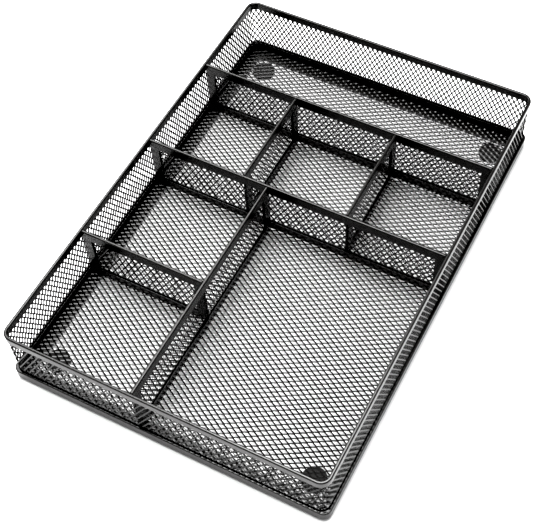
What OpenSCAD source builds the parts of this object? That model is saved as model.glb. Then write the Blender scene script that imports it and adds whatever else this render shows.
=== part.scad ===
// Desk organizer tray: expanded-metal tray with a folded rim, a raised base frame,
// six framed mesh dividers and four rubber feet.
// X runs left to right, Y from front to back, Z up. The origin is under the middle
// of the tray, on the surface it stands on.

/* [Tray] */
// Width across the top rim, left to right
rim_w = 302; // [240:1:360]
// Depth across the top rim, front to back
rim_d = 440; // [380:1:520]
// Height from the desk to the top of the rim
tray_h = 68; // [56:1:90]
// Outer radius of the rim's corners
corner_r = 10; // [8:0.5:20]

/* [Folded steel] */
// Thickness of the folded sheet steel
gauge = 0.8; // [0.6:0.1:1]
// Overall thickness of the expanded mesh
mesh_t = 1.4; // [1:0.1:1.8]
// Height of the rim's two legs
rim_h = 7.5; // [5:0.5:12]

/* [Base frame] */
// Clearance between the desk and the base frame
base_z = 3; // [2:0.5:6]
// Height of the base frame's legs
base_h = 10; // [6:0.5:14]
// How far the base frame stands proud of the rim on each side
base_proud = 1; // [0.5:0.25:2]
// Outer radius of the base frame's corners
base_corner_r = 7.5; // [5:0.5:11]
// Width of the base frame seen from below, outer face to inner edge
flange_w = 13.5; // [8:0.5:20]
// Radius of the flange's inner corners
flange_corner_r = 3; // [1:0.5:8]

/* [Feet] */
// Diameter of a rubber foot
foot_d = 22; // [12:1:26]
// Distance from the rim's side to a foot's centre
foot_inset_x = 25.5; // [25:0.5:40]
// Distance from the rim's front or back to a foot's centre
foot_inset_y = 28; // [26:0.5:40]
// Chamfer round the lower edge of a foot
foot_chamfer = 0.8; // [0.2:0.1:1.2]

/* [Dividers] */
// Height of a divider's top and bottom rails
rail_h = 10; // [6:0.5:14]
// Width of a divider's end posts
post_w = 9; // [6:0.5:14]
// Centre line of the back divider, from the tray's middle
back_y = 122; // [100:1:150]
// Centre line of the middle divider
middle_y = 16.5; // [-20:0.5:50]
// Centre line of the left divider
left_y = -99; // [-140:1:-60]
// Centre line of the back left divider
back_left_x = -49.5; // [-80:0.5:-30]
// Centre line of the back right divider
back_right_x = 53.5; // [30:0.5:80]
// Centre line of the front divider
front_x = -24.5; // [-60:0.5:20]

/* [Hidden] */
$fn = 64;
cut = 1;
channel_w = mesh_t + 2 * gauge;
base_w = rim_w + 2 * base_proud;
base_d = rim_d + 2 * base_proud;
floor_z = base_z + gauge;
floor_top = floor_z + mesh_t;
mesh_top = tray_h - gauge;
divider_h = tray_h - floor_top;
// Inner faces of the rim and of the base frame's inner leg
inner_x = rim_w / 2 - channel_w;
inner_y = rim_d / 2 - channel_w;
inner_r = corner_r - channel_w;
half_t = channel_w / 2;
foot_x = rim_w / 2 - foot_inset_x;
foot_y = rim_d / 2 - foot_inset_y;

rim_colour = "#2b2a28";
mesh_colour = "#1d1c1a";
foot_colour = "#141414";

// Each divider: name, start point of its centre line, length, turn about Z
DIVIDERS = [
    ["back_divider", [-inner_x, back_y], 2 * inner_x, 0],
    ["middle_divider", [-inner_x, middle_y], 2 * inner_x, 0],
    ["left_divider", [-inner_x, left_y], front_x - half_t + inner_x, 0],
    ["back_left_divider", [back_left_x, middle_y + half_t], back_y - middle_y - channel_w, 90],
    ["back_right_divider", [back_right_x, middle_y + half_t], back_y - middle_y - channel_w, 90],
    ["front_divider", [front_x, -inner_y], middle_y - half_t + inner_y, 90]
];
DIVIDER_PARTS = ["mesh", "top_rail", "bottom_rail", "start_post", "end_post"];

// Each foot: name, side along X, side along Y
FEET = [
    ["foot_front_left", -1, -1],
    ["foot_front_right", 1, -1],
    ["foot_back_left", -1, 1],
    ["foot_back_right", 1, 1]
];

// Upright slab with round corners, as seen from above
module rounded_slab(w, d, r, z0, z1) {
    translate([0, 0, z0]) {
        linear_extrude(z1 - z0) {
            square([w - 2 * r, d], center = true);
            square([w, d - 2 * r], center = true);
            for (sx = [-1, 1], sy = [-1, 1]) {
                translate([sx * (w / 2 - r), sy * (d / 2 - r)]) circle(r);
            }
        }
    }
}

// Wall that follows the tray's outline; the insets are measured inward from the rim's outer face
module wall_ring(outer_inset, inner_inset, z0, z1) {
    difference() {
        rounded_slab(rim_w - 2 * outer_inset, rim_d - 2 * outer_inset, corner_r - outer_inset, z0, z1);
        rounded_slab(rim_w - 2 * inner_inset, rim_d - 2 * inner_inset, corner_r - inner_inset,
            z0 - cut, z1 + cut);
    }
}

// Folded channel along X, with its web on top and its slot open below
module channel(length, height) {
    difference() {
        translate([0, -half_t, 0]) cube([length, channel_w, height]);
        translate([-cut, -mesh_t / 2, -cut]) cube([length + 2 * cut, mesh_t, height - gauge + cut]);
    }
}

// Folded channel standing on the bottom rail, with its web towards -X
module post_channel() {
    translate([post_w, 0, floor_top + rail_h]) {
        rotate([0, -90, 0]) channel(divider_h - 2 * rail_h, post_w);
    }
}

module top_rim() {
    color(rim_colour) {
        difference() {
            wall_ring(0, channel_w, tray_h - rim_h, tray_h);
            wall_ring(gauge, gauge + mesh_t, tray_h - rim_h - cut, mesh_top);
        }
    }
}

module wall_mesh() {
    color(mesh_colour) wall_ring(gauge, gauge + mesh_t, floor_z, mesh_top);
}

module base_frame() {
    leg_top = base_z + base_h;
    color(rim_colour) {
        difference() {
            rounded_slab(base_w, base_d, base_corner_r, base_z, leg_top);
            wall_ring(gauge, gauge + mesh_t, floor_z, leg_top + cut);
            rounded_slab(2 * inner_x, 2 * inner_y, inner_r, floor_z, leg_top + cut);
            rounded_slab(base_w - 2 * flange_w, base_d - 2 * flange_w, flange_corner_r,
                base_z - cut, floor_z + cut);
        }
    }
}

module floor_mesh() {
    color(mesh_colour) rounded_slab(2 * inner_x, 2 * inner_y, inner_r, floor_z, floor_top);
}

module foot(side_x, side_y) {
    color(foot_colour) {
        translate([side_x * foot_x, side_y * foot_y, 0]) {
            rotate_extrude() {
                polygon([
                    [0, 0],
                    [foot_d / 2 - foot_chamfer, 0],
                    [foot_d / 2, foot_chamfer],
                    [foot_d / 2, floor_z],
                    [0, floor_z]
                ]);
            }
        }
    }
}

// One piece of a divider that is length long, drawn along X from the origin
module divider_part(part, length) {
    if (part == "mesh") {
        color(mesh_colour) {
            translate([gauge, -mesh_t / 2, floor_top + gauge]) {
                cube([length - 2 * gauge, mesh_t, divider_h - 2 * gauge]);
            }
        }
    }
    if (part == "top_rail") {
        color(rim_colour) translate([0, 0, tray_h - rail_h]) channel(length, rail_h);
    }
    if (part == "bottom_rail") {
        color(rim_colour) translate([0, 0, floor_top + rail_h]) mirror([0, 0, 1]) channel(length, rail_h);
    }
    if (part == "start_post") {
        color(rim_colour) post_channel();
    }
    if (part == "end_post") {
        color(rim_colour) translate([length, 0, 0]) mirror([1, 0, 0]) post_channel();
    }
}

module divider_node(divider, part) {
    translate([divider[1].x, divider[1].y, 0]) {
        rotate([0, 0, divider[3]]) divider_part(part, divider[2]);
    }
}

top_rim();
wall_mesh();
base_frame();
floor_mesh();
for (f = FEET) {
    foot(f[1], f[2]);
}
for (d = DIVIDERS, part = DIVIDER_PARTS) {
    divider_node(d, part);
}
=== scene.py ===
import math
import bpy
import bmesh
from mathutils import Euler, Matrix, Vector


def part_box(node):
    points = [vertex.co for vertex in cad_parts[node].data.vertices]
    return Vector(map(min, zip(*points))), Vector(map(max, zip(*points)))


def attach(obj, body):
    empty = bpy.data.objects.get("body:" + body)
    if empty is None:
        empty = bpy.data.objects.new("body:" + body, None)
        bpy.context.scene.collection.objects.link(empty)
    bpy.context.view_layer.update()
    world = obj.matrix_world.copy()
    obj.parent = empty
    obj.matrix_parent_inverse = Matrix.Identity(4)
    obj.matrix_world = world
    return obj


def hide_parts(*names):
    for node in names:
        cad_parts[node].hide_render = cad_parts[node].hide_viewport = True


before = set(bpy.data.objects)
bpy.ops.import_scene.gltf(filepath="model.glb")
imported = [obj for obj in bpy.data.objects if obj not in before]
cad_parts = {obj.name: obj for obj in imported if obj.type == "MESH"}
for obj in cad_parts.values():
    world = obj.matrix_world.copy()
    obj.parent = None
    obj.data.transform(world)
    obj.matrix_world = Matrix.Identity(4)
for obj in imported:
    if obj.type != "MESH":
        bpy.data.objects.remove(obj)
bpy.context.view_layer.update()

mm = 0.001  # lengths below are in metres, most written in millimetres
scene = bpy.context.scene


def upper(node):
    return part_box(node)[1]


def lower(node):
    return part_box(node)[0]


# camera and studio

camera = {
    "place": (0.31156, -0.54027, 0.89303),
    "turn": (34.3647, 1.5368, 27.1636),  # degrees
    "lens": 79.17,
    "sensorWidth": 36,
    "shift": -0.05,
    "nearest": 0.01,
    "farthest": 50,
}

cameraData = bpy.data.cameras.new("Camera")
cameraData.lens = camera["lens"]
cameraData.sensor_width = camera["sensorWidth"]
cameraData.shift_x = camera["shift"]
cameraData.clip_start = camera["nearest"]
cameraData.clip_end = camera["farthest"]
cameraObject = bpy.data.objects.new("Camera", cameraData)
cameraObject.location = camera["place"]
cameraObject.rotation_euler = Euler([math.radians(a) for a in camera["turn"]])
scene.collection.objects.link(cameraObject)
scene.camera = cameraObject

studio = {
    "look": "High Contrast",
    "blackLevel": 0.015,  # light below this shows as black
    "skyStrength": 0.55,
    "lamps": {
        "KeySoftBox": {"place": (-0.1, 0.05, 1.7), "size": 1.1, "power": 47},
        "BackSoftBox": {"place": (-0.95, 0.8, 1.45), "size": 0.9, "power": 17},
    },
    "tableSize": 8,
}

scene.view_settings.view_transform = "Standard"
scene.view_settings.look = studio["look"]
scene.view_settings.use_curve_mapping = True
scene.view_settings.curve_mapping.black_level = [studio["blackLevel"]] * 3
scene.view_settings.curve_mapping.update()

world = bpy.data.worlds.new("StudioSky")
scene.world = world
world.use_nodes = True
sky = world.node_tree.nodes["Background"]
sky.inputs["Color"].default_value = (1, 1, 1, 1)
sky.inputs["Strength"].default_value = studio["skyStrength"]


def areaLamp(name, place, size, power):
    lampData = bpy.data.lights.new(name, "AREA")
    lampData.size = size
    lampData.energy = power
    lamp = bpy.data.objects.new(name, lampData)
    lamp.location = place
    lamp.rotation_euler = (-Vector(place)).to_track_quat("-Z", "Y").to_euler()
    scene.collection.objects.link(lamp)


for lampName, lamp in studio["lamps"].items():
    areaLamp(lampName, lamp["place"], lamp["size"], lamp["power"])
print("camera and studio ready")


# materials

def newMaterial(name):
    material = bpy.data.materials.new(name)
    material.use_nodes = True
    tree = material.node_tree
    return material, tree, tree.nodes["Principled BSDF"]


def noise(tree, scale, detail, roughness=0.5):
    # one noise texture on object coordinates; scale is per metre
    coords = tree.nodes.new("ShaderNodeTexCoord")
    texture = tree.nodes.new("ShaderNodeTexNoise")
    texture.inputs["Scale"].default_value = scale
    texture.inputs["Detail"].default_value = detail
    texture.inputs["Roughness"].default_value = roughness
    tree.links.new(coords.outputs["Object"], texture.inputs["Vector"])
    return texture


def spread(tree, source, low, high):
    # the middle of a noise pattern, stretched from low to high
    ranger = tree.nodes.new("ShaderNodeMapRange")
    ranger.inputs["From Min"].default_value = 0.3
    ranger.inputs["From Max"].default_value = 0.7
    ranger.inputs["To Min"].default_value = low
    ranger.inputs["To Max"].default_value = high
    tree.links.new(source, ranger.inputs["Value"])
    return ranger.outputs["Result"]


def tint(tree, source, dark, light):
    # the same pattern as a drift between two colours
    ramp = tree.nodes.new("ShaderNodeValToRGB")
    ramp.color_ramp.elements[0].position = 0.35
    ramp.color_ramp.elements[1].position = 0.65
    ramp.color_ramp.elements[0].color = (*dark, 1)
    ramp.color_ramp.elements[1].color = (*light, 1)
    tree.links.new(source, ramp.inputs["Fac"])
    return ramp.outputs["Color"]


def relief(tree, source, strength, height, under=None):
    # bump from a pattern, laid over another bump where one is given
    bump = tree.nodes.new("ShaderNodeBump")
    bump.inputs["Strength"].default_value = strength
    bump.inputs["Distance"].default_value = height
    tree.links.new(source, bump.inputs["Height"])
    if under:
        tree.links.new(under, bump.inputs["Normal"])
    return bump.outputs["Normal"]


coatRelief = {
    "patchScale": 28,  # slow drift of the colour
    "peelHeight": 0.2 * mm,
    "grainHeight": 0.05 * mm,
}


def coatMaterial(name, coat):
    material, tree, shader = newMaterial(name)
    peel = noise(tree, coat["peelScale"], 2).outputs["Fac"]
    grain = noise(tree, coat["grainScale"], 3, 0.6).outputs["Fac"]
    patches = noise(tree, coatRelief["patchScale"], 4, 0.6).outputs["Fac"]
    tree.links.new(tint(tree, patches, coat["dark"], coat["light"]), shader.inputs["Base Color"])
    tree.links.new(spread(tree, grain, *coat["roughness"]), shader.inputs["Roughness"])
    waves = relief(tree, peel, coat["peelStrength"], coatRelief["peelHeight"])
    bumps = relief(tree, grain, coat["grainStrength"], coatRelief["grainHeight"], waves)
    tree.links.new(bumps, shader.inputs["Normal"])
    shader.inputs["IOR"].default_value = coat["ior"]
    return material


powderCoat = coatMaterial("PowderCoat", {
    "dark": (0.0045, 0.0042, 0.0038),
    "light": (0.0065, 0.0060, 0.0054),
    "roughness": (0.17, 0.27),
    "peelScale": 420,
    "peelStrength": 0.25,
    "grainScale": 2600,
    "grainStrength": 0.3,
    "ior": 1.5,
})
strandCoat = coatMaterial("StrandCoat", {
    "dark": (0.004, 0.0037, 0.0034),
    "light": (0.006, 0.0056, 0.0052),
    "roughness": (0.17, 0.27),
    "peelScale": 700,
    "peelStrength": 0.2,
    "grainScale": 3000,
    "grainStrength": 0.25,
    "ior": 1.4,
})


rubber = {
    "dark": (0.008, 0.008, 0.008),
    "light": (0.016, 0.0155, 0.015),
    "roughness": (0.62, 0.8),
    "bloomScale": 160,
    "grainScale": 3800,
    "grainStrength": 0.4,
    "grainHeight": 0.05 * mm,
    "gloss": 0.35,
}


def rubberMaterial():
    material, tree, shader = newMaterial("FootRubber")
    bloom = noise(tree, rubber["bloomScale"], 5, 0.65).outputs["Fac"]
    grain = noise(tree, rubber["grainScale"], 2).outputs["Fac"]
    tree.links.new(tint(tree, bloom, rubber["dark"], rubber["light"]), shader.inputs["Base Color"])
    tree.links.new(spread(tree, bloom, *rubber["roughness"]), shader.inputs["Roughness"])
    bumps = relief(tree, grain, rubber["grainStrength"], rubber["grainHeight"])
    tree.links.new(bumps, shader.inputs["Normal"])
    shader.inputs["Specular IOR Level"].default_value = rubber["gloss"]
    return material


footRubber = rubberMaterial()


paper = {
    "dark": (0.90, 0.90, 0.90),
    "light": (0.93, 0.93, 0.93),
    "cloudScale": 3,
    "roughness": 0.9,
    "gloss": 0.1,
}


def paperMaterial():
    material, tree, shader = newMaterial("StudioPaper")
    cloud = noise(tree, paper["cloudScale"], 2).outputs["Fac"]
    tree.links.new(tint(tree, cloud, paper["dark"], paper["light"]), shader.inputs["Base Color"])
    shader.inputs["Roughness"].default_value = paper["roughness"]
    shader.inputs["Specular IOR Level"].default_value = paper["gloss"]
    return material


studioPaper = paperMaterial()
print("materials ready")


# shared ways of making

def finishPiece(bm, name, material, slotName, *nodes):
    mesh = bpy.data.meshes.new(name)
    bm.to_mesh(mesh)
    bm.free()
    mesh.materials.append(material)
    piece = bpy.data.objects.new(name, mesh)
    scene.collection.objects.link(piece)
    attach(piece, "root")
    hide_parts(*nodes)
    return piece


net = {
    "long": 8.8 * mm,  # a diamond's two diagonals
    "short": 5.2 * mm,
    "knuckle": 0.2 * mm,  # how far a hole's two tips are drawn in, which widens the knuckles
    "rise": 0.42 * mm,  # one tip goes up by this and the other down, which leans the strands
    "gauge": 0.4 * mm,
    "thickness": 1.4 * mm,  # overall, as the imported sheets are
    "spareCells": 4,  # past the outline, so that every cut runs through metal
    "cutTolerance": 1e-7,
}


def diamondNet(width, height, longAxis, strand, lean):
    # flat net round the origin: every grid edge becomes a strand, every crossing a knuckle
    shortAxis = 1 - longAxis
    cell = [net["short"], net["short"]]
    cell[longAxis] = net["long"]
    # a square grid stood on its corner, big enough to cover the outline
    count = 2 * math.ceil((width / cell[0] + height / cell[1]) / 2) + net["spareCells"]
    bm = bmesh.new()
    bmesh.ops.create_grid(bm, x_segments=count, y_segments=count, size=count / 2 * math.sqrt(0.5))
    bmesh.ops.rotate(bm, verts=bm.verts, cent=(0, 0, 0), matrix=Matrix.Rotation(math.pi / 4, 3, "Z"))
    bmesh.ops.scale(bm, verts=bm.verts, vec=(cell[0], cell[1], 1))
    far = []
    for face in bm.faces:
        middle = face.calc_center_median()
        if abs(middle.x) > width / 2 + cell[0] or abs(middle.y) > height / 2 + cell[1]:
            far.append(face)
    bmesh.ops.delete(bm, geom=far, context="FACES")
    metal = bmesh.ops.bevel(bm, geom=bm.edges[:], offset=strand / 2, offset_type="OFFSET", segments=1,
                            profile=0.5, affect="EDGES", clamp_overlap=False, material=-1)["faces"]
    holes = list(set(bm.faces) - set(metal))
    for hole in holes:
        corners = sorted(hole.verts, key=lambda v: v.co[shortAxis])
        for tip, side in ((corners[0], 1), (corners[-1], -1)):
            tip.co[shortAxis] += side * net["knuckle"]
            tip.co.z = side * lean * net["rise"]
    bmesh.ops.delete(bm, geom=holes, context="FACES_ONLY")
    return bm


def trim(bm, point, outward):
    # cuts off what lies past a plane
    bmesh.ops.bisect_plane(bm, geom=bm.verts[:] + bm.edges[:] + bm.faces[:],
                           dist=net["cutTolerance"], plane_co=point, plane_no=outward, clear_outer=True)


def thicken(piece):
    solidify = piece.modifiers.new("Gauge", "SOLIDIFY")
    solidify.thickness = net["gauge"]
    solidify.offset = 0
    solidify.use_even_offset = False


# floor

floor = {
    "cornerRadius": 7 * mm,
    "cornerCuts": 5,  # straight cuts that round one corner
    "lean": 1,
    "strand": 1.1 * mm,
}


def makeFloor():
    low, high = lower("floor_mesh"), upper("floor_mesh")
    size = high - low
    bm = diamondNet(size.x, size.y, 0, floor["strand"], floor["lean"])
    for side in (Vector((1, 0, 0)), Vector((0, 1, 0))):
        reach = size.x / 2 if side.x else size.y / 2
        trim(bm, side * reach, side)
        trim(bm, -side * reach, -side)
    radius = floor["cornerRadius"]
    for sx in (-1, 1):
        for sy in (-1, 1):
            centre = Vector((sx * (size.x / 2 - radius), sy * (size.y / 2 - radius), 0))
            for i in range(floor["cornerCuts"]):
                angle = math.pi / 2 * (i + 1) / (floor["cornerCuts"] + 1)
                outward = Vector((sx * math.cos(angle), sy * math.sin(angle), 0))
                trim(bm, centre + outward * radius, outward)
    bmesh.ops.translate(bm, verts=bm.verts, vec=(low + high) / 2)
    piece = finishPiece(bm, "FloorNet", strandCoat, "mesh", "floor_mesh")
    thicken(piece)


makeFloor()
print("floor net made")


# walls

walls = {
    "outerRadius": 9.2 * mm,
    "strand": 1.02 * mm,
    # each strip covers two walls: the first one's place in the round, and the strands' lean
    "strips": {"WallNetRight": (1, -1), "WallNetLeft": (3, 1)},
}


def makeWalls():
    low, high = lower("wall_mesh"), upper("wall_mesh")
    half = Vector((high.x, high.y)) - Vector((net["thickness"], net["thickness"])) / 2
    radius = walls["outerRadius"] - net["thickness"] / 2
    # the walls run front, right, back, left, with half a corner at each end of a wall
    straight = [2 * (half.x - radius), 2 * (half.y - radius)] * 2
    corner = radius * math.pi / 2
    stripLength = straight[0] + straight[1] + 2 * corner
    # a whole number of diamonds, stretched a little to fill the strip
    cells = round(stripLength / net["short"])
    reach = cells * net["short"] / 2
    height = high.z - low.z

    def bend(flat, firstWall):
        # wraps a flat strip's point round the tray
        along = (flat.x + reach) / (2 * reach) * stripLength
        wall = firstWall
        if along > straight[wall] + corner:
            along -= straight[wall] + corner
            wall = (wall + 1) % 4
        offset = along - (straight[wall] + corner) / 2
        across = half.y if wall in (0, 2) else half.x
        spare = abs(offset) - straight[wall] / 2
        if spare <= 0:
            bent = Vector((offset, -across - flat.z, 0))
        else:
            angle = spare / radius
            side = math.copysign(1, offset)
            centre = Vector((side * straight[wall] / 2, -across + radius, 0))
            bent = centre + Vector((side * math.sin(angle), -math.cos(angle), 0)) * (radius + flat.z)
        bent.rotate(Matrix.Rotation(math.pi / 2 * wall, 3, "Z"))
        return Vector((bent.x, bent.y, flat.y + (low.z + high.z) / 2))

    for name, (firstWall, lean) in walls["strips"].items():
        bm = diamondNet(2 * reach, height, 1, walls["strand"], lean)
        for side in (-1, 1):
            trim(bm, Vector((side * reach, 0, 0)), Vector((side, 0, 0)))
            trim(bm, Vector((0, side * height / 2, 0)), Vector((0, side, 0)))
        for vert in bm.verts:
            vert.co = bend(vert.co, firstWall)
        piece = finishPiece(bm, name, strandCoat, "mesh", "wall_mesh")
        thicken(piece)


makeWalls()
print("wall net made")


# dividers

dividers = {
    "strand": 0.82 * mm,
    "leans": {
        "back_divider": 1,
        "middle_divider": 1,
        "left_divider": 1,
        "back_left_divider": -1,
        "back_right_divider": -1,
        "front_divider": -1,
    },
}


def makeDividerNet(name, lean):
    low, high = lower(name + "_mesh"), upper(name + "_mesh")
    size = high - low
    lengthways = 0 if size.x > size.y else 1
    length = size[lengthways]
    bm = diamondNet(length, size.z, 1, dividers["strand"], lean)
    for side in (-1, 1):
        trim(bm, Vector((side * length / 2, 0, 0)), Vector((side, 0, 0)))
        trim(bm, Vector((0, side * size.z / 2, 0)), Vector((0, side, 0)))
    bmesh.ops.rotate(bm, verts=bm.verts, cent=(0, 0, 0), matrix=Matrix.Rotation(math.pi / 2, 3, "X"))
    if lengthways == 1:
        bmesh.ops.rotate(bm, verts=bm.verts, cent=(0, 0, 0), matrix=Matrix.Rotation(math.pi / 2, 3, "Z"))
    bmesh.ops.translate(bm, verts=bm.verts, vec=(low + high) / 2)
    piece = finishPiece(bm, name + "_net", strandCoat, "mesh", name + "_mesh")
    thicken(piece)


for dividerName, lean in dividers["leans"].items():
    makeDividerNet(dividerName, lean)
print("divider nets made")


# folded steel

steel = {
    "bend": 1.2 * mm,  # outer radius of a fold
    "bendSegments": 6,
    "hem": 0.8 * mm,  # radius along the base frame's outer edges
    "hemSegments": 4,
    "baseCorner": 7.5 * mm,
    "burr": 0.16 * mm,  # softening of a cut edge under its coat
    "burrSegments": 2,
    "flatAngle": 0.5,  # degrees: faces closer than this are one face
    "foldAngle": 40,  # an edge sharper than this gets rounded
    "creaseAngle": 50,  # an edge sharper than this stays a crease
    "weld": 1e-6,
    "sameHeight": 0.01 * mm,  # two heights closer than this are one
    "sameOutline": 0.1 * mm,
}


def foldedCopy(node, isBend, radius, segments):
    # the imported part's own shape with rounded folds and softened cut edges
    bm = bmesh.new()
    bm.from_mesh(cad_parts[node].data)
    bmesh.ops.remove_doubles(bm, verts=bm.verts, dist=steel["weld"])
    bmesh.ops.dissolve_limit(bm, angle_limit=math.radians(steel["flatAngle"]),
                             verts=bm.verts, edges=bm.edges)

    def sharpEdges():
        limit = math.radians(steel["foldAngle"])
        return [e for e in bm.edges if len(e.link_faces) == 2 and e.calc_face_angle() > limit]

    def roundEdges(edges, offset, steps):
        bmesh.ops.bevel(bm, geom=edges, offset=offset, offset_type="OFFSET", segments=steps,
                        profile=0.5, affect="EDGES", clamp_overlap=True, material=-1)

    bends = [e for e in sharpEdges() if isBend(e)]
    if bends:
        roundEdges(bends, radius, segments)
    roundEdges(sharpEdges(), steel["burr"], steel["burrSegments"])
    for face in bm.faces:
        face.smooth = True
    return bm


def steelPiece(node, name, isBend, radius=steel["bend"], segments=steel["bendSegments"]):
    folded = foldedCopy(node, isBend, radius, segments)
    piece = finishPiece(folded, name, powderCoat, "frame", node)
    piece.data.set_sharp_from_angle(angle=math.radians(steel["creaseAngle"]))
    weighted = piece.modifiers.new("EvenNormals", "WEIGHTED_NORMAL")
    weighted.keep_sharp = True


def levelAt(height):
    # an edge lies at this height along its whole length
    return lambda edge: all(abs(v.co.z - height) < steel["sameHeight"] for v in edge.verts)


def onOutline(node, cornerRadius):
    # a level edge lies on the node's outermost wall, round its corners too
    half = (upper(node) - lower(node)) / 2
    centre = (upper(node) + lower(node)) / 2

    def isOutside(vert):
        over = [abs(vert.co[i] - centre[i]) - half[i] + cornerRadius for i in (0, 1)]
        past = math.hypot(max(over[0], 0), max(over[1], 0))
        return abs(past + min(max(over), 0) - cornerRadius) < steel["sameOutline"]

    def isRing(edge):
        level = abs(edge.verts[0].co.z - edge.verts[1].co.z) < steel["sameHeight"]
        return level and all(isOutside(v) for v in edge.verts)

    return isRing


steelPiece("top_rim", "Rim", levelAt(upper("top_rim").z))
steelPiece("base_frame", "BaseFrame", onOutline("base_frame", steel["baseCorner"]),
           steel["hem"], steel["hemSegments"])
for dividerName in dividers["leans"]:
    topRail, lowRail = dividerName + "_top_rail", dividerName + "_bottom_rail"
    steelPiece(topRail, dividerName + "_topChannel", levelAt(upper(topRail).z))
    steelPiece(lowRail, dividerName + "_lowChannel", levelAt(lower(lowRail).z))
    for post in ("_start_post", "_end_post"):
        # a post has no rounded fold, only its cut edges softened
        steelPiece(dividerName + post, dividerName + post + "Channel", lambda edge: False)
print("folded steel made")


# feet

foot = {
    "chamfer": 0.8 * mm,
    "topRound": 0.25 * mm,
    "dish": 0.5 * mm,  # hollow in the underside
    "dishRadius": 7.5 * mm,
    "lip": 0.4 * mm,  # from the dish's edge to the flat ring that stands on the desk
    "steps": 64,
    "weld": 0.01 * mm,
    "creaseAngle": 50,  # degrees
}


def makeFoot(node, name):
    low, high = lower(node), upper(node)
    centre = (low + high) / 2
    radius = (high.x - low.x) / 2
    height = high.z - low.z
    # half of the foot's section, from the middle of the dish out, up and back over the top
    outline = [
        (0, foot["dish"]),
        (foot["dishRadius"] - 0.6 * mm, foot["dish"]),  # the dish's wall curves down to the ring
        (foot["dishRadius"] - 0.15 * mm, foot["dish"] * 0.7),
        (foot["dishRadius"], 0.1 * mm),
        (foot["dishRadius"] + foot["lip"], 0),
        (radius - foot["chamfer"], 0),
        (radius - foot["chamfer"] * 0.35, foot["chamfer"] * 0.3),
        (radius, foot["chamfer"]),
        (radius, height - foot["topRound"]),
        (radius - foot["topRound"], height),
        (0, height),
    ]
    bm = bmesh.new()
    verts = [bm.verts.new((centre.x + r, centre.y, low.z + z)) for r, z in outline]
    edges = [bm.edges.new(pair) for pair in zip(verts, verts[1:])]
    bmesh.ops.spin(bm, geom=verts + edges, cent=(centre.x, centre.y, 0), axis=(0, 0, 1),
                   angle=math.tau, steps=foot["steps"], use_merge=True)
    bmesh.ops.remove_doubles(bm, verts=bm.verts, dist=foot["weld"])
    bmesh.ops.recalc_face_normals(bm, faces=bm.faces)
    for face in bm.faces:
        face.smooth = True
    piece = finishPiece(bm, name, footRubber, "rubber", node)
    piece.data.set_sharp_from_angle(angle=math.radians(foot["creaseAngle"]))


for side in ("front_left", "front_right", "back_left", "back_right"):
    makeFoot("foot_" + side, "Foot_" + side)
print("feet made")


# table

bm = bmesh.new()
bmesh.ops.create_grid(bm, x_segments=2, y_segments=2, size=studio["tableSize"] / 2)
tableMesh = bpy.data.meshes.new("Table")
bm.to_mesh(tableMesh)
bm.free()
tableMesh.materials.append(studioPaper)
table = bpy.data.objects.new("Table", tableMesh)
scene.collection.objects.link(table)

bpy.context.view_layer.update()
